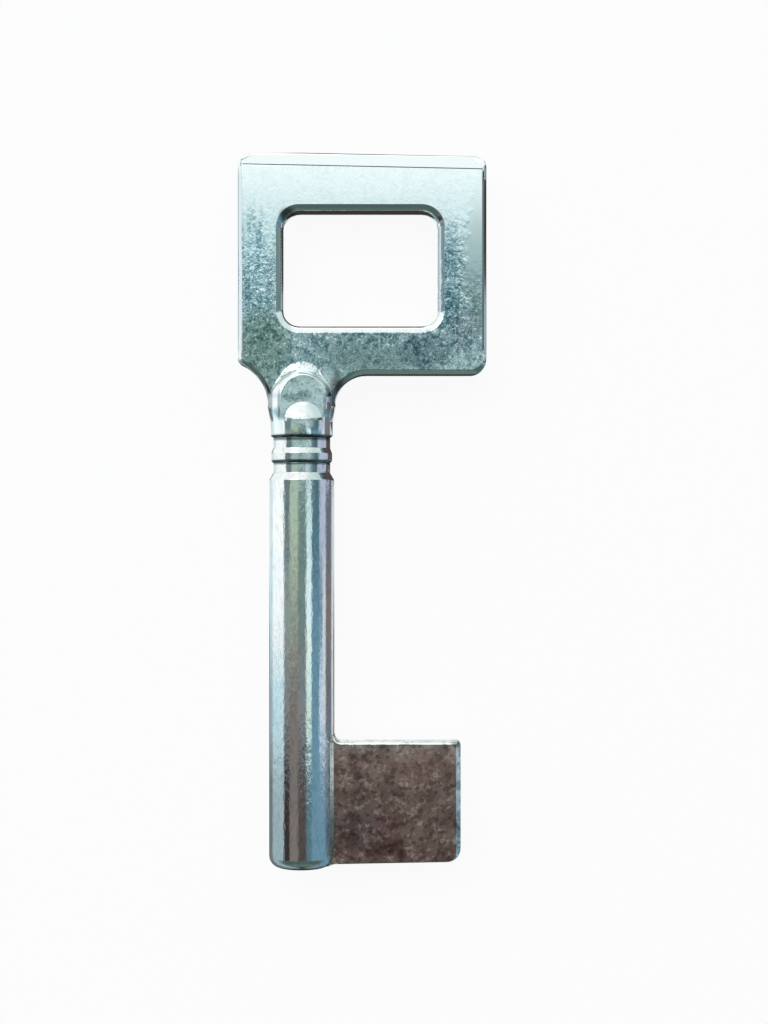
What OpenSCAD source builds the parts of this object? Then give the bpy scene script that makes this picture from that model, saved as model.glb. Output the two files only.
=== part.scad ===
// Blank bit key: a square frame bow on a grooved neck, a plain round shank and an uncut flag bit.
// The key lies flat. X runs towards the bit, Y from the tip to the bow, Z out of the bow's face.
// The origin is the centre of the shank's end face, on the shank's axis.

/* [Shank] */
// Diameter of the plain round shank
shank_d = 6.5; // [5.5:0.1:8]
// Length of the plain shank, from the end face to the chamfer below the neck
shank_len = 38.6; // [25:0.1:60]
// Radius of the rounded end
tip_r = 1.1; // [0.6:0.1:1.8]
// Diameter of the turned-down land at each groove
land_d = 5.7; // [4.8:0.1:5.8]
// Length of the land at the top of the shank
land_len = 1.0; // [0.6:0.1:2]
// Length of the chamfer between the shank and its land
shoulder_len = 0.7; // [0.3:0.1:1.2]
// Diameter of the spigot that carries the collar and the bow
spigot_d = 3.2; // [2.4:0.1:3.4]
// Length of the spigot inside the neck of the bow
spigot_grip = 4.8; // [3:0.1:5]

/* [Collar] */
// Diameter of the collar's rim
rim_d = 6.1; // [5.9:0.05:7]
// Length of the rim's cylindrical part
rim_len = 0.75; // [0.4:0.05:1.5]
// Length of the chamfer that rises from the collar's land to its rim
rim_rise = 0.5; // [0.2:0.05:1]
// Length of the collar's land
collar_land = 1.05; // [0.6:0.05:2]
// Length of the short steep chamfer under the collar's rim and under the neck band
undercut_len = 0.2; // [0.1:0.05:0.4]

/* [Neck] */
// Diameter of the round band at the foot of the neck
neck_d = 6.2; // [6:0.1:6.5]
// Length of the band above its chamfer, up to the ball-shaped end that dips into the pads
band_len = 1.4; // [0.6:0.1:2]
// Diameter of the neck where the flares leave it
flare_w = 6.7; // [6.5:0.1:7.2]
// Height of the flare's foot above the band
flare_rise = 1.5; // [1.3:0.1:3]
// Radius of the concave flare on the short side of the bow
flare_r_short = 4.5; // [3.7:0.1:5]
// Radius of the concave flare on the long side of the bow
flare_r_long = 3.1; // [2:0.1:4]
// Height of the flat pad above the bow's face
pad_rise = 0.98; // [0.8:0.02:1.1]
// Slope of the pad across the neck, in degrees
pad_slope = 6; // [0:0.5:8]
// Distance of the neck's ball-shaped end above the flare's foot
arch_rise = 0.8; // [0:0.1:1.2]
// Radius of the outer edge of the blend between the arch and the bow's face
blend_r = 2.8; // [2.4:0.1:3.2]
// Width of that blend
blend_w = 1.8; // [1.2:0.1:2]
// Depth of the blend's upper edge below the pad
blend_drop = 0.25; // [0.05:0.01:0.4]
// Depth to which the blend's arc dips below the bow's face
blend_dip = 0.03; // [0.02:0.01:0.06]

/* [Bow] */
// Overall width of the bow
bow_w = 24.8; // [20:0.1:32]
// Height of the bow above its lower edge
bow_h = 22.2; // [18:0.1:30]
// Thickness of the bow
bow_t = 3.0; // [2.4:0.1:3.6]
// Distance from the shank's axis to the near side of the bow
bow_side = 6.35; // [5.6:0.05:6.8]
// Radius of the two upper corners
bow_top_r = 1.5; // [1:0.1:2.5]
// Radius of the lower corner on the long side
bow_low_r = 1.6; // [0.8:0.1:2.5]
// Radius of the small corner above the short flare
bow_foot_r = 0.7; // [0.6:0.1:1]
// Width of the bevel round the bow's outer edge
bow_bevel_w = 0.45; // [0.3:0.05:0.5]
// Depth of that bevel
bow_bevel_d = 0.25; // [0.25:0.05:0.4]
// Taper of every wall from the middle of the thickness to the bevel
draft = 0.06; // [0.02:0.01:0.15]
// Width of the ground facet along the top edge, at its near end
facet_w = 1.2; // [0.6:0.05:1.8]
// Depth of that facet at the edge
facet_d = 0.5; // [0.4:0.05:0.9]
// Width of the fine groove along the facet
line_w = 0.2; // [0.1:0.02:0.4]
// Depth of that groove
line_d = 0.05; // [0.03:0.01:0.1]
// Slope of the ground top edge, in degrees
grind_angle = 1.2; // [0:0.1:2.5]

/* [Window] */
// Width of the bar above the window
bar_top = 6.0; // [4.5:0.1:8]
// Width of the bar below the window
bar_low = 4.9; // [4:0.1:7]
// Width of the bar on the shank's side
bar_near = 4.55; // [3.5:0.05:6]
// Width of the bar on the far side
bar_far = 4.9; // [3.5:0.1:6]
// Radius of the window's corners
window_r = 1.6; // [0.8:0.1:2.5]
// Width of the bevel round the window
win_bevel_w = 0.65; // [0.2:0.05:0.8]
// Depth of that bevel
win_bevel_d = 0.32; // [0.15:0.01:0.5]

/* [Bit] */
// Reach of the bit beyond the shank
bit_reach = 12.6; // [8:0.2:18]
// Height of the bit at its free edge
bit_h = 11.9; // [8:0.1:16]
// Thickness of the bit
bit_t = 2.6; // [2:0.1:3]
// Height of the bit's lower edge above the shank's end, at the root
bit_foot = 0.4; // [0.4:0.05:1]
// Rise of the lower edge towards its free end
bit_rise = 0.2; // [0:0.05:0.8]
// Radius of the lower outer corner
bit_corner_r = 1.4; // [0.5:0.1:2.5]
// Radius of the upper outer corner
bit_top_r = 0.3; // [0.2:0.05:1]
// Width and depth of the bevel on the free edge
bit_bevel = 0.45; // [0.2:0.05:0.6]
// Width and depth of the fine bevel on the upper and lower edges
bit_edge = 0.16; // [0.05:0.01:0.3]
// Radius of the fillet between the shank and the bit's upper edge
root_r = 0.7; // [0.4:0.1:1.2]
// Radius of the fillet between the shank's round end and the bit's lower edge
heel_r = 1.2; // [0.8:0.1:1.6]
// Depth of the tenon below the shank's surface
tenon_depth = 2.0; // [1.2:0.1:2.6]
// Step between each end of the bit's root and its tenon
tenon_step = 0.8; // [0.5:0.1:1.5]
// Thickness of the tenon
tenon_t = 2.2; // [1.6:0.1:2.5]
// Radius of the brazed fillet along both faces of the root
braze_r = 0.6; // [0.3:0.05:0.8]
// Angle at which the brazed fillet's thin edges end
braze_edge = 10; // [5:1:20]

/* [Fits] */
// Gap left for the brazing metal between joined pieces
braze_gap = 0.02; // [0.01:0.01:0.05]

/* [Hidden] */
$fn = 96;

// Radii of the turned parts
shank_r = shank_d / 2;
land_r = land_d / 2;
spigot_r = spigot_d / 2;
rim_r = rim_d / 2;
neck_r = neck_d / 2;
flare_half = flare_w / 2;

// Heights along the axis, from the tip upwards
shoulder_y = shank_len + shoulder_len;
collar_y = shoulder_y + land_len;
rim_y = collar_y + undercut_len;
rim_top_y = rim_y + rim_len;
collar_land_y = rim_top_y + rim_rise;
neck_y = collar_land_y + collar_land;
band_y = neck_y + undercut_len;
ball_y = band_y + band_len;
flare_y = ball_y + flare_rise;
arch_y = flare_y + arch_rise;
bow_y0 = flare_y + flare_r_long;
bow_y1 = bow_y0 + bow_h;
spigot_y = neck_y + spigot_grip;

// Levels across the thickness
bow_z = bow_t / 2;
pad_z = bow_z + pad_rise;
bit_z = bit_t / 2;
over = 1;

// The bow's sides and the centres of its rounds
bow_x0 = -bow_side;
bow_x1 = bow_w - bow_side;
short_c = [-flare_half - flare_r_short, flare_y];
long_c = [flare_half + flare_r_long, flare_y];
foot_x = bow_x0 + bow_foot_r;
foot_c = [foot_x, flare_y + sqrt(pow(flare_r_short + bow_foot_r, 2) - pow(foot_x - short_c[0], 2))];
near_top_c = [bow_x0 + bow_top_r, bow_y1 - bow_top_r];
far_top_c = [bow_x1 - bow_top_r, bow_y1 - bow_top_r];
far_low_c = [bow_x1 - bow_low_r, bow_y0 + bow_low_r];

// The window's sides
win_x0 = bow_x0 + bar_near;
win_x1 = bow_x1 - bar_far;
win_y0 = bow_y0 + bar_low;
win_y1 = bow_y1 - bar_top;
win_mid = [(win_x0 + win_x1) / 2, (win_y0 + win_y1) / 2];

// The bit's sides and the centres of its rounds
bit_x1 = shank_r + bit_reach;
bit_y1 = bit_foot + bit_rise + bit_h;
tip_c = [shank_r - tip_r, tip_r];
heel_c = [tip_c[0] + sqrt(pow(tip_r + heel_r, 2) - pow(tip_r + heel_r - bit_foot, 2)), bit_foot - heel_r];
heel_start = tip_c + (heel_c - tip_c) * tip_r / (tip_r + heel_r);
root_c = [shank_r + root_r, bit_y1 + root_r];
bit_low_c = [bit_x1 - bit_corner_r, bit_foot + bit_rise + bit_corner_r];
bit_top_c = [bit_x1 - bit_top_r, bit_y1 - bit_top_r];
bit_mid = [heel_c[0], bit_foot + bit_corner_r];
braze_x = sqrt(pow(shank_r + braze_r, 2) - pow(bit_z + braze_r, 2));

// Inset of a wall at each level: bevel, taper, widest line, taper, bevel
function edge_profile(half, width, depth, taper) = [
    [width + taper, -half],
    [taper, depth - half],
    [0, 0],
    [taper, half - depth],
    [width + taper, half]
];

// The outline of a piece's section, from its plain inner side to its shaped outer side
function section(inner, outer, side, profile) = concat(
    [[inner, profile[0][1]]],
    [for (p = profile) [outer - side * p[0], p[1]]],
    [[inner, -profile[0][1]]]
);

// A bar from its inner end at a to its shaped outer end at b, along X, between two heights
module side_bar(a, b, y_from, y_to, profile) {
    translate([0, y_to, 0])
        rotate([90, 0, 0])
            linear_extrude(height = y_to - y_from)
                polygon(section(a, b, sign(b - a), profile));
}

// A bar from its inner end at a to its shaped outer end at b, along Y, between two sides
module end_bar(a, b, x_from, x_to, profile) {
    translate([x_from, 0, 0])
        rotate([90, 0, 90])
            linear_extrude(height = x_to - x_from)
                polygon(section(a, b, sign(b - a), profile));
}

// A bar beside the line from one corner's centre to the next, reaching from a to b across it
module sloped_bar(a, b, c_from, c_to, profile) {
    run = c_to - c_from;
    translate(concat(c_from, [0]))
        rotate([0, 0, atan2(run[1], run[0])])
            end_bar(a, b, 0, norm(run), profile);
}

// A round corner with the same edge as the bars beside it
module corner(c, r, profile) {
    translate(concat(c, [0]))
        rotate_extrude()
            polygon(section(0, r, 1, profile));
}

// The round space in a concave corner, which widens with the bevel and goes on past the faces
module hollow_corner(c, r, profile) {
    last = profile[len(profile) - 1];
    wide = concat(
        [[last[0] + over, -last[1] - over]],
        profile,
        [[last[0] + over, last[1] + over]]
    );
    translate(concat(c, [0]))
        rotate_extrude()
            polygon(section(0, r, -1, wide));
}

// The window: two crossed bars and four corners, each wider towards the faces
module window_space() {
    profile = [for (p = edge_profile(bow_z, win_bevel_w, win_bevel_d, draft)) [-p[0], p[1]]];
    for (x = [win_x0, win_x1])
        side_bar(win_mid[0], x, win_y0 + window_r, win_y1 - window_r, profile);
    for (y = [win_y0, win_y1])
        end_bar(win_mid[1], y, win_x0 + window_r, win_x1 - window_r, profile);
    for (x = [win_x0 + window_r, win_x1 - window_r])
        for (y = [win_y0 + window_r, win_y1 - window_r])
            corner([x, y], window_r, profile);
}

// What grinding takes off the top: a shallow wedge that starts above the window's near side
module top_space() {
    translate([win_x0, bow_y1, -bow_z - over])
        rotate([0, 0, -grind_angle])
            cube([bow_w, bow_w, bow_t + 2 * over]);
}

// What is taken off one face along the ground edge: the facet and the fine groove below it
module facet_space() {
    slope = facet_d / facet_w;
    translate([bow_x0, bow_y1, 0])
        rotate([0, 0, -grind_angle])
            rotate([90, 0, 90])
                translate([0, 0, -over])
                    linear_extrude(height = bow_w + 2 * over)
                        polygon([
                            [-facet_w - line_w, bow_z + over],
                            [-facet_w - line_w, bow_z],
                            [-facet_w - line_w / 2, bow_z - line_d],
                            [-facet_w, bow_z],
                            [over, bow_z - facet_d - over * slope],
                            [over, bow_z + over]
                        ]);
}

// A copy on the front and one on the back
module both_faces() {
    children();
    mirror([0, 0, 1]) children();
}

// The concave blend from the arch down to the bow's face, widest above the arch
module blend() {
    arch_r = sqrt(pow(flare_half, 2) - pow(pad_z, 2));
    high = pad_rise - blend_drop;
    arc_r = (pow(blend_w, 2) + pow(high, 2)) / (2 * high);
    translate([0, arch_y + arch_r + blend_w - blend_r, bow_z])
        rotate_extrude()
            difference() {
                polygon([
                    [0, -bow_bevel_d],
                    [blend_r, -bow_bevel_d],
                    [blend_r, 0],
                    [blend_r - blend_w, high],
                    [0, high]
                ]);
                translate([blend_r, arc_r - blend_dip]) circle(r = arc_r);
            }
}

// The flat frame with its flares, before the neck joins it
module bow_plate() {
    profile = edge_profile(bow_z, bow_bevel_w, bow_bevel_d, draft);
    difference() {
        union() {
            side_bar(win_mid[0], bow_x0, foot_c[1], near_top_c[1], profile);
            side_bar(win_mid[0], bow_x1, far_low_c[1], far_top_c[1], profile);
            end_bar(win_mid[1], bow_y1, near_top_c[0], far_top_c[0], profile);
            end_bar(win_mid[1], bow_y0, long_c[0], far_low_c[0], profile);
            corner(near_top_c, bow_top_r, profile);
            corner(far_top_c, bow_top_r, profile);
            corner(far_low_c, bow_low_r, profile);
            corner(foot_c, bow_foot_r, profile);
            translate([0, 0, -bow_z])
                linear_extrude(height = bow_t)
                    polygon([foot_c, short_c, long_c, [long_c[0], win_mid[1]], [foot_c[0], win_mid[1]]]);
            both_faces() blend();
        }
        hollow_corner(short_c, flare_r_short, profile);
        hollow_corner(long_c, flare_r_long, profile);
        window_space();
        top_space();
        both_faces() facet_space();
    }
}

// A solid of revolution about the shank's axis, from [radius, height] points
module turned(points) {
    rotate([-90, 0, 0]) rotate_extrude() polygon(points);
}

// A round bar along the shank's axis with a ball-shaped end, from [radius, height] points up to the ball
module ball_ended(points) {
    last = points[len(points) - 1];
    rotate([-90, 0, 0])
        rotate_extrude() {
            polygon(concat([[0, points[0][1]]], points, [[0, last[1]]]));
            translate([0, last[1]])
                intersection() {
                    circle(r = last[0]);
                    square(last[0]);
                }
        }
}

// All that lies under the slanted plane of the front pad
module under_pad() {
    rotate([0, pad_slope, 0])
        translate([-bow_w, 0, pad_z - bow_w])
            cube([2 * bow_w, bow_y1, bow_w]);
}

// The flat wings beside the neck, which thin out to nothing at the band
module neck_wings() {
    edge_r = norm([flare_half, bow_z - bow_bevel_d]);
    intersection() {
        turned([[0, ball_y], [neck_r, ball_y], [edge_r, flare_y], [0, flare_y]]);
        translate([0, 0, -bow_z])
            linear_extrude(height = bow_t)
                polygon([[-neck_r, ball_y], [neck_r, ball_y], [flare_half, flare_y], [-flare_half, flare_y]]);
    }
}

// The neck: the band with its ball-shaped end, and the round body between the slanted pads, whose own
// ball-shaped end makes the arches
module neck() {
    ball_ended([[land_r, neck_y], [neck_r, band_y], [neck_r, ball_y]]);
    intersection() {
        ball_ended([[neck_r, ball_y], [flare_half, flare_y], [flare_half, arch_y]]);
        under_pad();
        mirror([0, 0, 1]) under_pad();
    }
    neck_wings();
}

module bow() {
    color([0.66, 0.76, 0.77])
        difference() {
            union() {
                bow_plate();
                neck();
            }
            turned([
                [0, neck_y - over],
                [spigot_r + braze_gap, neck_y - over],
                [spigot_r + braze_gap, spigot_y + braze_gap],
                [0, spigot_y + braze_gap]
            ]);
        }
}

module collar() {
    bore_r = spigot_r + braze_gap;
    color([0.80, 0.86, 0.87])
        turned([
            [bore_r, collar_y],
            [land_r, collar_y],
            [rim_r, rim_y],
            [rim_r, rim_top_y],
            [land_r, collar_land_y],
            [land_r, neck_y],
            [bore_r, neck_y]
        ]);
}

// The plain round length with its rounded end, or with a gap the space that it takes
module plain_shank(gap) {
    rotate([-90, 0, 0])
        rotate_extrude()
            translate(tip_c) circle(r = tip_r + gap);
    turned([
        [0, -gap],
        [tip_c[0], -gap],
        tip_c,
        [shank_r + gap, tip_c[1]],
        [shank_r + gap, shank_len],
        [0, shank_len]
    ]);
}

// What is turned down above the plain length: chamfer, land and spigot
module shank_top() {
    turned([
        [0, shank_len],
        [shank_r, shank_len],
        [land_r, shoulder_y],
        [land_r, collar_y],
        [spigot_r, collar_y],
        [spigot_r, spigot_y],
        [0, spigot_y]
    ]);
}

// The tenon of the bit, or with a gap the slot that takes it
module tenon(gap) {
    low = bit_foot + tenon_step - gap;
    high = bit_y1 - tenon_step + gap;
    half = tenon_t / 2 + gap;
    translate([shank_r - tenon_depth - gap, low, -half])
        cube([tenon_depth + bit_z + gap, high - low, 2 * half]);
}

module shank() {
    color([0.74, 0.80, 0.82])
        difference() {
            union() {
                plain_shank(0);
                shank_top();
            }
            tenon(braze_gap);
        }
}

// The wedge that the wide bevel takes off the bit's free edge, on one face
module bit_bevel_space() {
    translate([0, bit_y1 + over, 0])
        rotate([90, 0, 0])
            linear_extrude(height = bit_y1 + 2 * over)
                polygon([
                    [bit_x1 - bit_bevel - over, bit_z + over],
                    [bit_x1 + over, bit_z - bit_bevel - over],
                    [bit_x1 + over, bit_z + over]
                ]);
}

// The flat plate of the bit, with the fillets at both ends of its root
module bit_plate() {
    profile = edge_profile(bit_z, bit_edge, bit_edge, 0);
    difference() {
        union() {
            end_bar(bit_mid[1], bit_y1, bit_mid[0], bit_top_c[0], profile);
            side_bar(bit_mid[0], bit_x1, bit_low_c[1], bit_top_c[1], profile);
            sloped_bar(bit_corner_r, -bit_corner_r, bit_mid, bit_low_c, profile);
            corner(bit_low_c, bit_corner_r, profile);
            corner(bit_top_c, bit_top_r, profile);
            translate([0, 0, -bit_z])
                linear_extrude(height = bit_t)
                    polygon([
                        [tip_c[0], heel_start[1]],
                        heel_start,
                        heel_c,
                        bit_mid,
                        [root_c[0], bit_mid[1]],
                        root_c,
                        [tip_c[0], root_c[1]]
                    ]);
        }
        hollow_corner(root_c, root_r, profile);
        hollow_corner(heel_c, heel_r, profile);
        both_faces() bit_bevel_space();
        plain_shank(braze_gap);
    }
}

module bit() {
    color([0.52, 0.47, 0.45])
        union() {
            bit_plate();
            tenon(0);
        }
}

// The concave fillet of brazing metal along the root, on both faces
module bit_braze() {
    c = [braze_x, bit_z + braze_r];
    wing = atan2(c[1], c[0]) + braze_edge;
    thin_x = c[0] - braze_r * tan(braze_edge);
    deep_x = c[0] - braze_r / tan(wing);
    color([0.72, 0.78, 0.80])
        both_faces()
            translate([0, bit_y1, 0])
                rotate([90, 0, 0])
                    linear_extrude(height = bit_y1 - tip_r)
                        difference() {
                            polygon([c, [deep_x, bit_z], [thin_x, bit_z]]);
                            translate(c) circle(r = braze_r);
                            circle(r = shank_r);
                        }
}

bow();
collar();
shank();
bit();
bit_braze();
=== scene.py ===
# %% [markdown]
# A blank bit key, dressed for its portrait. The key is made of plated metal: a cast bow, a small turned
# collar, a turned shank and a flat bit that is brazed to it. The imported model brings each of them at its
# real size and place, and this notebook gives them soft edges, smooth curves and a finish. Everything is
# in metres, so sizes that are easier to think of in millimetres are multiplied by MM.

import math

import bmesh
import bpy
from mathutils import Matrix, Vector
from mathutils.bvhtree import BVHTree


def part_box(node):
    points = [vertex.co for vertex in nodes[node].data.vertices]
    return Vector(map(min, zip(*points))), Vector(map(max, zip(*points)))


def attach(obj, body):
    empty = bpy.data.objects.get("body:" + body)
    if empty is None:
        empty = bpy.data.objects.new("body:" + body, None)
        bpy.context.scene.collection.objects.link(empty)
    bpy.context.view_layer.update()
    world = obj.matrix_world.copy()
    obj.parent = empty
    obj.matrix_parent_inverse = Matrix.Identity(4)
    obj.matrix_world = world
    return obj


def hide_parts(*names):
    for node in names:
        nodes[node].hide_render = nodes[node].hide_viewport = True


MM = 0.001

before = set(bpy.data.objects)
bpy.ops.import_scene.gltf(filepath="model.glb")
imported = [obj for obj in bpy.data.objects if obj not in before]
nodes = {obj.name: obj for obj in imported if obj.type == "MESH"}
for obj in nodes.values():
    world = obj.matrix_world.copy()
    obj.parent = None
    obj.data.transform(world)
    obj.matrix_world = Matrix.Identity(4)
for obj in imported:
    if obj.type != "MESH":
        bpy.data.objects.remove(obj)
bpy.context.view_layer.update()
print("nodes:", ", ".join(sorted(nodes)))

# %% [markdown]
# Shader and geometry trees are easier to read when one call makes a node and connects it. The helper add
# takes the node's type, a dictionary of what goes into its sockets, and any settings. A value is written
# on the socket, and an output of another node is linked to it. The helper share_of tells how far a value
# has come from a start to an end, as a number from 0 to 1. A Mix node has sockets for every kind of data,
# and its colours are the ones with the three numbers named below.

# %% Helpers that add nodes

COLOUR_A, COLOUR_B, COLOUR_OUT = 6, 7, 2


def opaque(colour):
    return (*colour, 1.0)


def add(tree, kind, inputs=None, **settings):
    made = tree.nodes.new(kind)
    for name, value in settings.items():
        setattr(made, name, value)
    for key, value in (inputs or {}).items():
        if isinstance(value, bpy.types.NodeSocket):
            tree.links.new(value, made.inputs[key])
        else:
            made.inputs[key].default_value = value
    return made


def math_node(tree, operation, first, second=0.0):
    return add(tree, "ShaderNodeMath", {0: first, 1: second}, operation=operation).outputs[0]


def share_of(tree, value, start, end, **settings):
    ends = {"Value": value, "From Min": start, "From Max": end}
    return add(tree, "ShaderNodeMapRange", ends, **settings).outputs[0]


def ramp(tree, factor, stops):
    made = add(tree, "ShaderNodeValToRGB", {"Fac": factor})
    points = made.color_ramp.elements
    while len(points) < len(stops):
        points.new(0.5)
    for point, (place, colour) in zip(points, stops):
        point.position = place
        point.color = opaque(colour)
    return made.outputs["Color"]


def mix_colour(tree, factor, below, above, blend="MIX"):
    inputs = {0: factor, COLOUR_A: below, COLOUR_B: above}
    return add(tree, "ShaderNodeMix", inputs, data_type="RGBA", blend_type=blend).outputs[COLOUR_OUT]


print("helpers:", ", ".join(helper.__name__ for helper in (add, math_node, share_of, ramp, mix_colour)))

# %% [markdown]
# Polished cast metal is never quite flat. Its skin has shallow waves about half a millimetre apart, and
# in a bright finish each of them mirrors another part of the room, so the flats look mottled. Between the
# waves lie dark pits and small worn specks. Real bumps that small would need millions of faces, so a node
# group makes all three from noise in the object's own coordinates: a height for the Bump node, and two
# masks for colour and roughness. The three colour channels of one Noise Texture are three separate
# patterns, which saves more textures. Each mask adds a coarse and a fine pattern, so that pits and specks
# lie in loose clusters. A pit is where the sum is low and a speck where it is high. The two numbers of
# each are the sum where it starts and the sum where it is full.

# %% A node group for the skin of the metal

PITS = (1.00, 0.84)
SPECKS = (1.05, 1.19)
GRAIN_ROUGHNESS = 0.6


def new_group(name, inputs, outputs):
    group = bpy.data.node_groups.new(name, "ShaderNodeTree")
    for title, kind in inputs:
        group.interface.new_socket(title, in_out="INPUT", socket_type="NodeSocket" + kind)
    for title, kind in outputs:
        group.interface.new_socket(title, in_out="OUTPUT", socket_type="NodeSocket" + kind)
    return group, add(group, "NodeGroupInput").outputs, add(group, "NodeGroupOutput").inputs


def make_metal_skin():
    group, given, result = new_group(
        "metal_skin",
        [("Vector", "Vector"), ("Waves per metre", "Float"), ("Grains per metre", "Float")],
        [("Height", "Float"), ("Pits", "Float"), ("Specks", "Float")])
    waves = add(group, "ShaderNodeTexNoise", {
        "Vector": given["Vector"], "Scale": given["Waves per metre"], "Detail": 2.0})
    grains = add(group, "ShaderNodeTexNoise", {
        "Vector": given["Vector"], "Scale": given["Grains per metre"], "Detail": 2.0,
        "Roughness": GRAIN_ROUGHNESS})
    channels = add(group, "ShaderNodeSeparateColor", {0: grains.outputs["Color"]}).outputs
    group.links.new(math_node(group, "ADD", waves.outputs["Fac"], channels[0]), result["Height"])
    coarse = add(group, "ShaderNodeSeparateColor", {0: waves.outputs["Color"]}).outputs
    low_sum = math_node(group, "ADD", channels[1], coarse[1])
    high_sum = math_node(group, "ADD", channels[2], coarse[2])
    group.links.new(share_of(group, low_sum, *PITS), result["Pits"])
    group.links.new(share_of(group, high_sum, *SPECKS), result["Specks"])
    return group


metal_skin = make_metal_skin()
print("group:", metal_skin.name)

# %% [markdown]
# Zinc plating carries a thin clear film whose colour drifts from bluish to faintly yellow, and bare
# ground metal turns brown in patches. Both are slow changes between three colours, so one group serves
# them. The dark colour lies where the noise is low, the middle one halfway, and the light one where it is
# high.

# %% A node group for patches of three colours

LOW, MIDWAY, HIGH = 0.34, 0.50, 0.66
PATCH_ROUGHNESS = 0.6


def make_patches():
    group, given, result = new_group(
        "patches",
        [("Vector", "Vector"), ("Patches per metre", "Float"),
         ("Dark", "Color"), ("Middle", "Color"), ("Light", "Color")],
        [("Color", "Color")])
    noise = add(group, "ShaderNodeTexNoise", {
        "Vector": given["Vector"], "Scale": given["Patches per metre"], "Detail": 4.0,
        "Roughness": PATCH_ROUGHNESS})
    to_middle = share_of(group, noise.outputs["Fac"], LOW, MIDWAY)
    to_light = share_of(group, noise.outputs["Fac"], MIDWAY, HIGH)
    darker = mix_colour(group, to_middle, given["Dark"], given["Middle"])
    group.links.new(mix_colour(group, to_light, darker, given["Light"]), result["Color"])
    return group


patches = make_patches()
print("group:", patches.name)

# %% [markdown]
# Fingers and tools don't wear a key evenly: some places are stained, some are rougher, and other places
# get painted shade and painted highlights. Such places could be painted on an image, but a soft spot needs
# none: it is an oval mask with a centre and a reach.
# Dividing the way from the centre by the reach turns the oval into a circle of radius 1, and a smooth
# step from there inwards to the core makes its border soft.

# %% A node group for a soft oval spot

CORE = 0.45


def make_soft_spot():
    group, given, result = new_group(
        "soft_spot",
        [("Vector", "Vector"), ("Centre", "Vector"), ("Reach", "Vector")],
        [("Mask", "Float")])
    away = add(group, "ShaderNodeVectorMath", {
        0: given["Vector"], 1: given["Centre"]}, operation="SUBTRACT")
    round_off = add(group, "ShaderNodeVectorMath", {
        0: away.outputs[0], 1: given["Reach"]}, operation="DIVIDE")
    far = add(group, "ShaderNodeVectorMath", {0: round_off.outputs[0]}, operation="LENGTH")
    mask = share_of(group, far.outputs["Value"], 1.0, CORE, interpolation_type="SMOOTHSTEP")
    group.links.new(mask, result["Mask"])
    return group


soft_spot = make_soft_spot()
print("group:", soft_spot.name)

# %% [markdown]
# A finish is laid on by masks. The border of a stain is made ragged by a noise that shifts the place
# where its soft spot is read. Streaks are pits that a polishing wheel has set in rows along the key: a
# noise drawn out along Y gives the rows, and a finer one breaks them into dots. Edges are the sloping
# faces, found by the Z of the object's own normal. The grain tells how lively the skin is, from 0 for a
# smooth polish to 1, and a quiet zone calms it little by little along Y.

# %% Masks for the finishes

RAGGED = 2.0 * MM
RAGGED_RATE = 900.0
DRAWN_OUT = 0.06
ROW_RATE, ROWS = 2100.0, (0.50, 0.60)
DOT_RATE, DOTS = 3800.0, (0.42, 0.52)
EDGES = (0.96, 0.90)


def use_group(tree, group, inputs):
    return add(tree, "ShaderNodeGroup", inputs, node_tree=group).outputs


def spot_mask(tree, place, centre, reach):
    return use_group(tree, soft_spot, {
        "Vector": place,
        "Centre": (centre[0] * MM, centre[1] * MM, 0.0),
        "Reach": (reach[0] * MM, reach[1] * MM, 1.0)})["Mask"]


def ragged_place(tree, here):
    warp = add(tree, "ShaderNodeTexNoise", {"Vector": here, "Scale": RAGGED_RATE, "Detail": 3.0})
    shift = add(tree, "ShaderNodeVectorMath", {
        0: warp.outputs["Color"], 1: (0.5, 0.5, 0.5)}, operation="SUBTRACT").outputs[0]
    return add(tree, "ShaderNodeVectorMath", {
        0: shift, 1: (RAGGED, RAGGED, RAGGED), 2: here}, operation="MULTIPLY_ADD").outputs[0]


def streak_mask(tree, here, spots):
    drawn = add(tree, "ShaderNodeMapping", {"Vector": here, "Scale": (1.0, DRAWN_OUT, 1.0)}).outputs[0]
    rows = add(tree, "ShaderNodeTexNoise", {"Vector": drawn, "Scale": ROW_RATE, "Detail": 0.0})
    dots = add(tree, "ShaderNodeTexNoise", {"Vector": here, "Scale": DOT_RATE, "Detail": 1.0})
    streaks = math_node(tree, "MULTIPLY", share_of(tree, rows.outputs["Fac"], *ROWS),
                        share_of(tree, dots.outputs["Fac"], *DOTS))
    mask = 0.0
    for centre, reach in spots:
        mask = math_node(tree, "ADD", mask, spot_mask(tree, here, centre, reach))
    return math_node(tree, "MULTIPLY", streaks, mask)


def edge_mask(tree, normal):
    upright = add(tree, "ShaderNodeSeparateXYZ", {0: normal}).outputs["Z"]
    return share_of(tree, math_node(tree, "ABSOLUTE", upright), *EDGES)


def calmed(tree, here, grain, start, end, calm_grain):
    height = add(tree, "ShaderNodeSeparateXYZ", {0: here}).outputs["Y"]
    return add(tree, "ShaderNodeMapRange", {
        "Value": height, "From Min": start * MM, "From Max": end * MM,
        "To Min": grain, "To Max": calm_grain}).outputs[0]


print("masks:", ", ".join(mask.__name__ for mask in (spot_mask, streak_mask, edge_mask, calmed)))

# %% [markdown]
# Every finish here is the same recipe with other amounts. It is a metallic Principled shader whose colour
# comes from the patches, the stains, the painted shades, the pits and the specks, whose roughness rises on
# the specks, and whose normal is bent by the skin's height. A stain is four things: its centre and its
# reach in millimetres, its tint, and how much grain it adds, and many stains carry painted reflection,
# painted shade and painted highlights in their tints. A painted shade is a stain with a clean border that
# lays painted shade and painted reflection on the metal, and unlike a stain it also tints the edges. The
# edges have a colour of their own and less grain. The rates count patches, waves and grains per metre, and
# the bump is the depth of the relief in millimetres.

# %% The recipe for plated metal

WHITE = opaque((1.0, 1.0, 1.0))


def tinted(tree, mask, colour, tint):
    return mix_colour(tree, mask, colour, mix_colour(tree, 1.0, colour, opaque(tint), "MULTIPLY"))


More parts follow.
